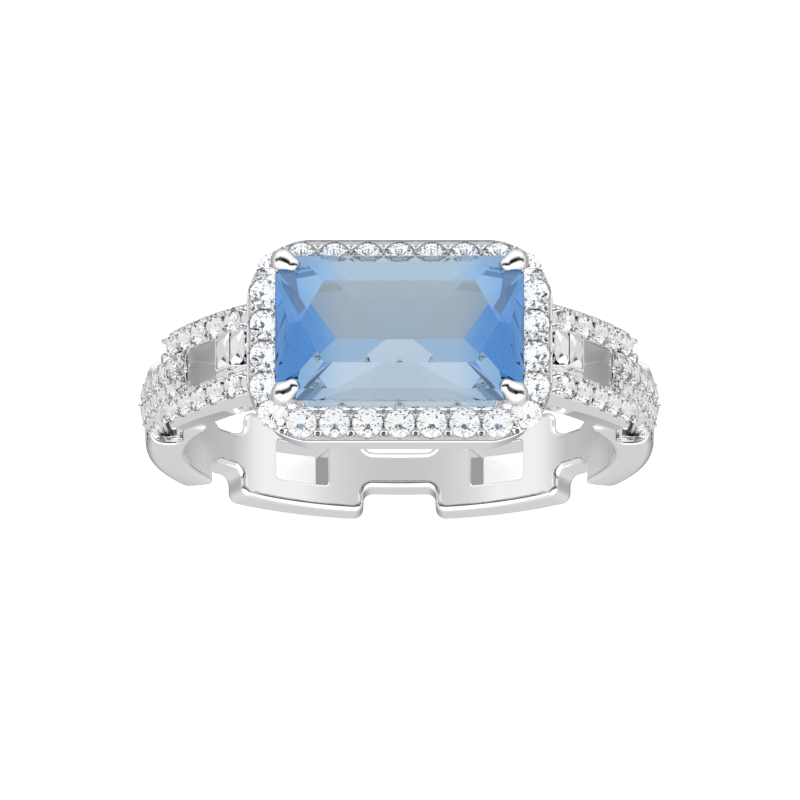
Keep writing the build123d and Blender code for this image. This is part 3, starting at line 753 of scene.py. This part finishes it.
# ------------------------------------------------------------------
# connectors: neck and raised stone-set bar
# ------------------------------------------------------------------
A_WIN = math.degrees(math.acos((8.59 - S_CX) / S_R))
FLANK = []
for deg_ in (95.6, 99.4, 103.2):
    fx_, fz_ = polar(10.04, deg_)
    fa_ = math.radians(deg_ - 90)
    FLANK.append(((fx_, 1.19, fz_), (0.7071 * math.cos(fa_), 0.7071, 0.7071 * math.sin(fa_))))


def conn_place(deg):
    c, a, n = shoulder_frame(S_R - 0.13, deg, CONN_Y)
    k, t = math.cos(CONN_TILT), math.sin(CONN_TILT)
    return c, (n[0] * k, t, n[2] * k)


def connector_field(X, Y, Z):
    r = np.sqrt(X * X + Z * Z)
    ay = np.abs(Y)
    ro = np.sqrt((X - f32(S_CX)) ** 2 + (Z - f32(S_CZ)) ** 2)
    d_out = ro - f32(S_R)
    foot = half_plane(X, Z, polar(R_OUT, 93.0), (0, 0))
    # neck
    upper = half_plane(X, Z, polar(R_IN, 111.5), (8.97, 4.37))
    neck = np.maximum(np.maximum(r - f32(10.25), f32(R_IN) - r), np.maximum(upper, foot))
    neck = r_and(neck, ay - f32(1.4), 0.12)
    neck = r_and(neck, (r + ay - f32(10.25 + 1.4 - 0.42)) * f32(0.7071), 0.03)
    # raised bar
    bar = np.maximum(d_out, f32(S_R - 0.9) - ro)
    bar = np.maximum(bar, foot)
    bar = np.maximum(bar, f32(8.60) - X)
    bar = r_and(bar, ay - f32(0.95), 0.05)
    bar = r_and(bar, (d_out + ay * f32(0.55) - f32(0.36)) * f32(0.876), 0.1)
    bar = r_and(bar, -half_plane(X, Z, (10.18, 0.45), (10.66, 2.2)), 0.15)
    d = r_or(neck, bar, 0.08)
    # room for the shoulder under the bar
    low = np.maximum(-half_plane(X, Z, polar(R_IN, 111.5), (8.97, 4.37)), -half_plane(X, Z, (8.97, 4.37), (9.33, 5.40)))
    d = np.maximum(d, -np.maximum(ro - f32(S_R - 0.56), low))
    # pierced flank, front and back, with a thin strut across it
    x2, z2 = X - f32(9.26), Z - f32(1.2)
    t = np.clip((x2 * f32(0.2) + z2 * f32(2.2)) * f32(1 / (0.2 ** 2 + 2.2 ** 2)), 0, 1)
    pocket = np.sqrt((x2 - t * f32(0.2)) ** 2 + (z2 - t * f32(2.2)) ** 2) - (f32(0.2) - t * f32(0.04))
    d = r_cut(d, np.maximum(pocket, f32(0.3) - ay), 0.02)
    strut = r_or(capsule(X, ay, Z, (9.60, 1.0, 5.3), (9.57, 1.14, 3.2), 0.05, 0.06), capsule(X, ay, Z, (9.57, 1.14, 3.2), (9.24, 1.34, 0.62), 0.06, 0.09), 0.03)
    d = r_or(d, strut, 0.02)
    # grains along the bar: three lines, between pairs of rows
    half = 0.5 * (CONN_DEG[1] - CONN_DEG[0])
    for k in range(len(CONN_DEG) + 1):
        deg = CONN_DEG[0] - half + 2 * half * k
        for y, rr, lift in ((0.0, 0.12, -0.03), (0.84, 0.10, -0.17)):
            c, a, n = shoulder_frame(S_R + lift, deg, y)
            g = 0.09 if 0 < k < len(CONN_DEG) else 0.0
            for t in ((-1, 1) if g else (0,)):
                b = ball(X, ay, Z, [c[i] + a[i] * t * g for i in range(3)], rr)
                d = r_or(d, b, 0.04)
    for deg in CONN_DEG:
        c, n = conn_place(deg)
        d = np.maximum(d, -seat(X, ay, Z, c, n, D_CONN))
    for c, n in FLANK:
        d = np.maximum(d, -seat(X, ay, Z, c, n, D_FLANK))
    return d


def pocket_satin_and_shade(P):
    """1 down inside the pierced flank, where the metal is rougher and painted shade darkens its colour."""
    x, y, z = np.abs(P[:, 0]), np.abs(P[:, 1]), P[:, 2]
    t = np.clip((z - 1.2) / 2.2, 0, 1)
    near = np.hypot(x - 9.26 - 0.2 * t, z - 1.2 - 2.2 * t) < 0.235
    return near * np.clip((1.33 - y) / 0.08, 0, 1) * (y > 0.2)


metal_piece("connector_bar", connector_field, (7.6, -1.65, 0.1), (11.0, 1.65, 7.6), 0.045,
            [["connector_right"], ["connector_left"]], mirror=True, satin_and_shade=pocket_satin_and_shade)


# ------------------------------------------------------------------
# centre stone: half-spaces of a cut-corner rectangle, keel below
# ------------------------------------------------------------------
GIRDLE_LO, GIRDLE_HI, TABLE_Z, KEEL_Z = 13.10, 13.22, 14.15, 9.75


def facet(az, slope, p, up=True):
    """Plane whose outward normal has azimuth az and tilts slope degrees from level, through p."""
    a, s = math.radians(az), math.radians(slope)
    n = (math.sin(s) * math.cos(a), math.sin(s) * math.sin(a), math.cos(s) * (1 if up else -1))
    return n, sum(n[i] * p[i] for i in range(3))


def centre_planes():
    """Cut-corner rectangle with a keel: step crown, fanned ends, split long sides."""
    out = [((0, 0, 1), TABLE_Z)]
    for az, p in ((0, (5.0, 0, 0)), (90, (0, 3.0, 0)), (180, (-5.0, 0, 0)), (270, (0, -3.0, 0))):
        out.append(facet(az, 90, p))

    def corner(az, sx, sy):
        a = math.radians(az)
        return math.degrees(math.atan2(sy * math.sin(a), sx * math.cos(a)))

    for sx in (-1, 1):
        for sy in (-1, 1):
            edge = (sx * 4.625, sy * 2.625)
            out.append(facet(corner(45, sx, sy), 90, (*edge, 0)))
            # crown corners
            out.append(facet(corner(45, sx, sy), 43.7, (*edge, GIRDLE_HI)))
            out.append(facet(corner(28.6, sx, sy), 24.34, (sx * 3.39, sy * 1.08, TABLE_Z)))
            # pavilion corners
            out.append(facet(corner(45, sx, sy), 59.0, (*edge, GIRDLE_LO), False))
            out.append(facet(corner(46.71, sx, sy), 46.15, (sx * 4.31, sy * 2.31, GIRDLE_LO - 0.22), False))
    for s in (-1, 1):
        base = 0 if s > 0 else 180
        # crown and pavilion edges, keel, ends
        out.append(facet(90 * s, 48.7, (0, 3.0 * s, GIRDLE_HI)))
        out.append(facet(base, 49.3, (5.0 * s, 0, GIRDLE_HI)))
        out.append(facet(90 * s, 59.5, (0, 3.0 * s, GIRDLE_LO), False))
        out.append(facet(90 * s, 47.37, (0, 0, KEEL_Z), False))
        out.append(facet(base, 64.8, (5.0 * s, 0, GIRDLE_LO), False))
        out.append(facet(base, 55.48, (4.78 * s, 0, GIRDLE_LO - 0.25), False))
        for t in (-1, 1):
            # crown: long sides, then ends
            out.append(facet(90 * s + t * 0.38, 28.71, (0, 1.71 * s, TABLE_Z)))
            out.append(facet(90 * s + t * 19.6, 40.93, (-t * s * 4.29, 3.0 * s, GIRDLE_HI + 0.02)))
            out.append(facet(base + t * 8.05, 36.69, (3.93 * s, 0, TABLE_Z)))
            out.append(facet(base + t * 29.49, 41.37, (4.428 * s, 0, GIRDLE_HI + 0.6)))
            # pavilion: split long sides, then the fanned ends
            out.append(facet(90 * s + t * 7.22, 44.23, (0, -0.005 * s, KEEL_Z), False))
            out.append(facet(90 * s + t * 58.75, 52.4, (-t * s * 2.136, 0.08 * s, KEEL_Z), False))
            out.append(facet(base + t * 23.24, 49.56, (2.136 * s, 0, KEEL_Z), False))
            out.append(facet(base + t * 2.45, 50.77, (2.745 * s, 0, KEEL_Z + 1.202), False))
            out.append(facet(base + t * 33.53, 46.02, (2.708 * s, 0, KEEL_Z + 0.51), False))
    # no facet may eat into the girdle outline
    rim = [(sx * a, sy * b) for sx in (-1, 1) for sy in (-1, 1) for a, b in ((5, 2.25), (4.25, 3))]
    kept = out[:1]
    for n, o in out[1:]:
        if abs(n[2]) > 1e-6:
            z = GIRDLE_HI if n[2] > 0 else GIRDLE_LO
            o = max(o, max(n[0] * x + n[1] * y + n[2] * z for x, y in rim) - 1e-4)
        kept.append((n, o))
    return kept


CENTRE_PLANES = centre_planes()


def clipped(planes, size=20.0, centre=(0, 0, 0)):
    """Convex solid of the half-spaces n.p <= o, as verts and faces."""
    bm = bmesh.new()
    bmesh.ops.create_cube(bm, size=size * 2)
    bmesh.ops.translate(bm, verts=bm.verts, vec=centre)
    for n, o in planes:
        n = Vector(n)
        geom = bm.verts[:] + bm.edges[:] + bm.faces[:]
        r = bmesh.ops.bisect_plane(bm, geom=geom, dist=1e-6, plane_co=n * (o / n.length_squared), plane_no=n, clear_outer=True)
        cut = [e for e in r["geom_cut"] if isinstance(e, bmesh.types.BMEdge)]
        if cut:
            bmesh.ops.holes_fill(bm, edges=cut)
    bmesh.ops.dissolve_degenerate(bm, dist=1e-5, edges=bm.edges)
    bmesh.ops.recalc_face_normals(bm, faces=bm.faces)
    verts = [tuple(v.co) for v in bm.verts]
    idx = {v: i for i, v in enumerate(bm.verts)}
    faces = [tuple(idx[v] for v in f.verts) for f in bm.faces]
    bm.free()
    return verts, faces


def gem_piece(name, verts, faces, node, material):
    o = mesh_object(name, verts, faces, None, material, smooth=False)
    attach(o, "root")
    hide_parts(node)
    return o


cv, cf = clipped(CENTRE_PLANES, centre=(0, 0, 12))
gem_piece("centre_gem", cv, cf, "centre_stone", BLUE)


# ------------------------------------------------------------------
# round stones: 57-facet brilliants
# ------------------------------------------------------------------
def brilliant():
    """Unit-diameter brilliant, girdle centred on z = 0, as verts and faces."""
    g, zg = 0.5, 0.013
    tan = math.tan
    r_t = 0.285
    z_t = zg + (g - r_t) * tan(math.radians(34.5))
    c22 = math.cos(math.radians(22.5))
    r_s = 0.385
    z_s = zg + (g - r_s * c22) * tan(math.radians(34.5))
    z_c = -zg - g * tan(math.radians(41.0))
    r_l = 0.125
    z_l = z_c + r_l * c22 * tan(math.radians(41.0))
    V, F = [], []

    def ring(r, z, n, off):
        i0 = len(V)
        for k in range(n):
            a = 2 * math.pi * k / n + math.radians(off)
            V.append((r * math.cos(a), r * math.sin(a), z))
        return [i0 + k for k in range(n)]

    T = ring(r_t, z_t, 8, 0)
    S = ring(r_s, z_s, 8, 22.5)
    G = ring(g, zg, 16, 0)
    H = ring(g, -zg, 16, 0)
    L = ring(r_l, z_l, 8, 22.5)
    V.append((0, 0, z_c))
    C = len(V) - 1
    F.append(tuple(T))
    for k in range(8):
        k1 = (k + 1) % 8
        F.append((T[k], S[k], T[k1]))
        F.append((T[k], S[k - 1], G[2 * k], S[k]))
        F.append((S[k], G[2 * k], G[2 * k + 1]))
        F.append((S[k], G[2 * k + 1], G[(2 * k + 2) % 16]))
        F.append((L[k], H[2 * k + 1], H[2 * k]))
        F.append((L[k], H[(2 * k + 2) % 16], H[2 * k + 1]))
        F.append((C, L[k], H[2 * k], L[k - 1]))
    for k in range(16):
        k1 = (k + 1) % 16
        F.append((G[k], H[k], H[k1], G[k1]))
    return np.array(V), F


BV, BF = brilliant()
RNG = random.Random(7)


def square_stone(w, l):
    """Square radiant-cut stone w by l with cut corners, girdle at z = 0."""
    planes = [((0, 0, 1), 0.17)]

    def out(az, r, z):
        return r * math.cos(math.radians(az)), r * math.sin(math.radians(az)), z

    for az in (0, 90, 180, 270):
        planes.append(facet(az, 90, out(az, 0.5, 0)))
        planes.append(facet(az, 36, out(az, 0.5, 0.02)))
        planes.append(facet(az, 41.5, (0, 0, -0.5), False))
        planes.append(facet(az + 45, 90, out(az + 45, 0.63, 0)))
        planes.append(facet(az + 45, 30, out(az + 45, 0.63, 0.02)))
        planes.append(facet(az + 45, 38.5, (0, 0, -0.5), False))
        for t in (-22.5, 22.5):
            planes.append(facet(az + t, 22, out(az + t, 0.37, 0.14)))
            planes.append(facet(az + t, 47, out(az + t, 0.545, -0.03), False))
    v, f = clipped(planes, size=2)
    return np.array(v) * np.array((w, l, 0.9)), f


def stones(name, places, node):
    """One mesh of brilliants, one per (centre, normal, along, diameter)."""
    V, F = [], []
    for c, n, a, d in places:
        n, a = Vector(n).normalized(), Vector(a).normalized()
        turn = RNG.uniform(0, 45)
        b = n.cross(a)
        R = Matrix((a, b, n)).transposed() @ Matrix.Rotation(math.radians(turn), 3, "Z")
        tilt = Matrix.Rotation(math.radians(RNG.uniform(-1.5, 1.5)), 3, "X") @ Matrix.Rotation(math.radians(RNG.uniform(-1.5, 1.5)), 3, "Y")
        R = R @ tilt
        M = np.array(R)
        i0 = len(V)
        V.extend((BV * d) @ M.T + np.array(c))
        F.extend(tuple(i + i0 for i in f) for f in BF)
    return gem_piece(name, V, F, node, CLEAR)


def halo_stone(x, y):
    return ((x, y, HS_Z), (0, 0, 1), (1, 0, 0), D_HALO * 0.985)


stones("halo_stones_f", [halo_stone(x, -ROW_Y) for x in ROW_X], "halo_stones_front")
stones("halo_stones_b", [halo_stone(x, ROW_Y) for x in ROW_X], "halo_stones_rear")
stones("halo_stones_l", [halo_stone(-SIDE_X, y) for y in SIDE_Y], "halo_stones_left")
stones("halo_stones_r", [halo_stone(SIDE_X, y) for y in SIDE_Y], "halo_stones_right")
stones("halo_stones_c", [halo_stone(sx * 5.10, sy * 3.05) for sx in (-1, 1) for sy in (-1, 1)], "halo_stones_corners")


def flipped(place, s):
    c, n, a, d = place
    return ((c[0] * s, c[1], c[2]), (n[0] * s, n[1], n[2]), (a[0] * s, a[1], a[2]), d)


def on_shoulder(r, deg, y, d):
    c, a, n = shoulder_frame(r, deg, y)
    return (c, n, a, d)


for s, side in ((1, "right"), (-1, "left")):
    for y, row in ((-1.36, "front"), (1.36, "rear")):
        stones(f"rail_{row}_{side}", [flipped(on_shoulder(S_R - 0.08, a, y, D_RAIL * 0.985), s) for a in RAIL_DEG], f"rail_stones_{row}_{side}")
    sv, sf = square_stone(*BLOCK_STONE)
    V, F = [], []
    for deg in BLOCK_DEG:
        c, a, n = shoulder_frame(S_R + BLOCK_RISE - 0.05, deg, 0)
        M = np.array((a, (0, 1, 0), n)).T
        Q = sv @ M.T + np.array(c)
        Q[:, 0] *= s
        F.extend(tuple(i + len(V) for i in (f if s > 0 else f[::-1])) for f in sf)
        V.extend(Q)
    gem_piece(f"block_{side}", V, F, f"block_stones_{side}", CLEAR)
    co = []
    for deg in CONN_DEG:
        c, n = conn_place(deg)
        a = (-n[2], 0, n[0])
        for t in (-1, 1):
            co.append(flipped(((c[0], t * c[1], c[2]), (n[0], t * n[1], n[2]), a, D_CONN * 0.985), s))
    stones(f"bar_{side}", co, f"connector_stones_{side}")
    fl = []
    for c, n in FLANK:
        a = (-n[2], 0, n[0])
        for t in (-1, 1):
            fl.append(flipped(((c[0], t * c[1], c[2]), (n[0], t * n[1], n[2]), a, D_FLANK * 0.985), s))
    stones(f"flank_{side}", fl, f"flank_stones_{side}")


# ------------------------------------------------------------------
# claws, seat rail, gallery and bridge under the centre stone
# ------------------------------------------------------------------
def claw_field(X, Y, Z):
    pts = [((3.96, 2.06, 9.2), 0.30), ((4.15, 2.28, 11.3), 0.31), ((4.66, 2.70, 12.5), 0.37),
           ((4.77, 2.80, 13.1), 0.40), ((4.70, 2.77, 13.40), 0.41)]
    d = None
    for (p, ra), (q, rb) in zip(pts[:-1], pts[1:]):
        c = capsule(X, Y, Z, p, q, ra, rb)
        d = c if d is None else r_or(d, c, 0.08)
    tip = capsule(X, Y, Z, (4.66, 2.75, 13.42), (4.30, 2.52, 13.56), 0.42, 0.31)
    d = r_or(d, tip, 0.2)
    stone = None
    for n, o in CENTRE_PLANES:
        v = X * f32(n[0]) + Y * f32(n[1]) + Z * f32(n[2]) - f32(o)
        stone = v if stone is None else np.maximum(stone, v)
    return np.maximum(d, -(stone - f32(0.012)))


for sx, sxn in ((1, "right"), (-1, "left")):
    for sy, syn in ((-1, "front"), (1, "rear")):
        def f(X, Y, Z, sx=sx, sy=sy):
            return claw_field(X * f32(sx), Y * f32(sy), Z)
        x0, x1 = sorted((sx * 3.5, sx * 5.3))
        y0, y1 = sorted((sy * 1.6, sy * 3.35))
        metal_piece(f"talon_{syn}_{sxn}", f, (x0, y0, 8.8), (x1, y1, 14.3), 0.035, [f"claw_{syn}_{sxn}"])


def bridge_field(X, Y, Z):
    r = np.sqrt(X * X + Z * Z)
    ay = np.abs(Y)
    end = -half_plane(np.abs(X), Z, polar(R_IN, 146.0), (4.942, 8.171))
    top = np.sqrt(X * X + Z * Z) - f32(9.55)
    d = r_and(np.maximum(top, end), ay - f32(1.65), 0.15)
    d = r_and(d, f32(R_IN) - r, 0.22)
    for x in (-2.35, 0.0, 2.35):
        px = np.maximum(np.abs(X - f32(x)) - f32(0.2), 0)
        slot_ = np.sqrt(px * px + Y * Y) - f32(0.65)
        d = r_cut(d, slot_, 0.08)
    return np.maximum(d, f32(6.8) - Z)


metal_piece("under_bridge", bridge_field, (-5.1, -1.75, 7.0), (5.1, 1.75, 9.7), 0.06, ["bridge"])


def gallery_field(X, Y, Z):
    ax, ay = np.abs(X), np.abs(Y)
    ring = cut_corner(ax, ay, 4.4, 2.5, 0.25, 0.5)
    hole = cut_corner(ax, ay, 3.8, 1.95, 0.15, 0.3)
    d = r_and(ring, np.abs(Z - f32(9.05)) - f32(0.35), 0.14)
    d = r_cut(d, hole, 0.12)
    # keep clear of the bridge it sits on
    r = np.sqrt(X * X + Z * Z)
    d = np.maximum(d, -np.maximum(np.maximum(r - f32(9.56), ay - f32(1.66)), f32(R_IN) - r))
    return np.maximum(d, f32(R_IN) - r)


metal_piece("gallery_ring", gallery_field, (-4.6, -2.7, 8.6), (4.6, 2.7, 9.5), 0.05, ["gallery_rail"])


def posts_field(X, Y, Z):
    ax, ay = np.abs(X), np.abs(Y)
    d = capsule(ax, ay, Z, (2.3, 2.2, 9.2), (2.5, 2.95, 10.25), 0.24, 0.3)
    d = np.minimum(d, capsule(ax, ay, Z, (0, 2.2, 9.2), (0, 2.95, 10.25), 0.24, 0.3))
    return np.maximum(np.maximum(d, f32(9.38) - Z), Z - f32(10.16))


metal_piece("gallery_props", posts_field, (-2.95, -3.4, 9.3), (2.95, 3.4, 10.25), 0.05, ["gallery_posts"])


def basket_field(X, Y, Z):
    ax, ay = np.abs(X), np.abs(Y)
    out_ = cut_corner(ax, ay, 4.68, 2.68, 0.6, 0.3)
    in_ = cut_corner(ax, ay, 4.15, 2.15, 0.3, 0.2)
    d = r_and(out_, np.abs(Z - f32(12.12)) - f32(0.22), 0.15)
    d = r_cut(d, in_, 0.12)
    stone = None
    for n, o in CENTRE_PLANES:
        v = X * f32(n[0]) + Y * f32(n[1]) + Z * f32(n[2]) - f32(o)
        stone = v if stone is None else np.maximum(stone, v)
    return np.maximum(d, -(stone - f32(0.012)))


metal_piece("seat_wire", basket_field, (-4.8, -2.8, 11.8), (4.8, 2.8, 12.5), 0.05, ["seat_rail"])


for name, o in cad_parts.items():
    if "stone" in name:
        mat = BLUE if name == "centre_stone" else CLEAR
    else:
        mat = METAL
    o.material_slots[0].material = mat
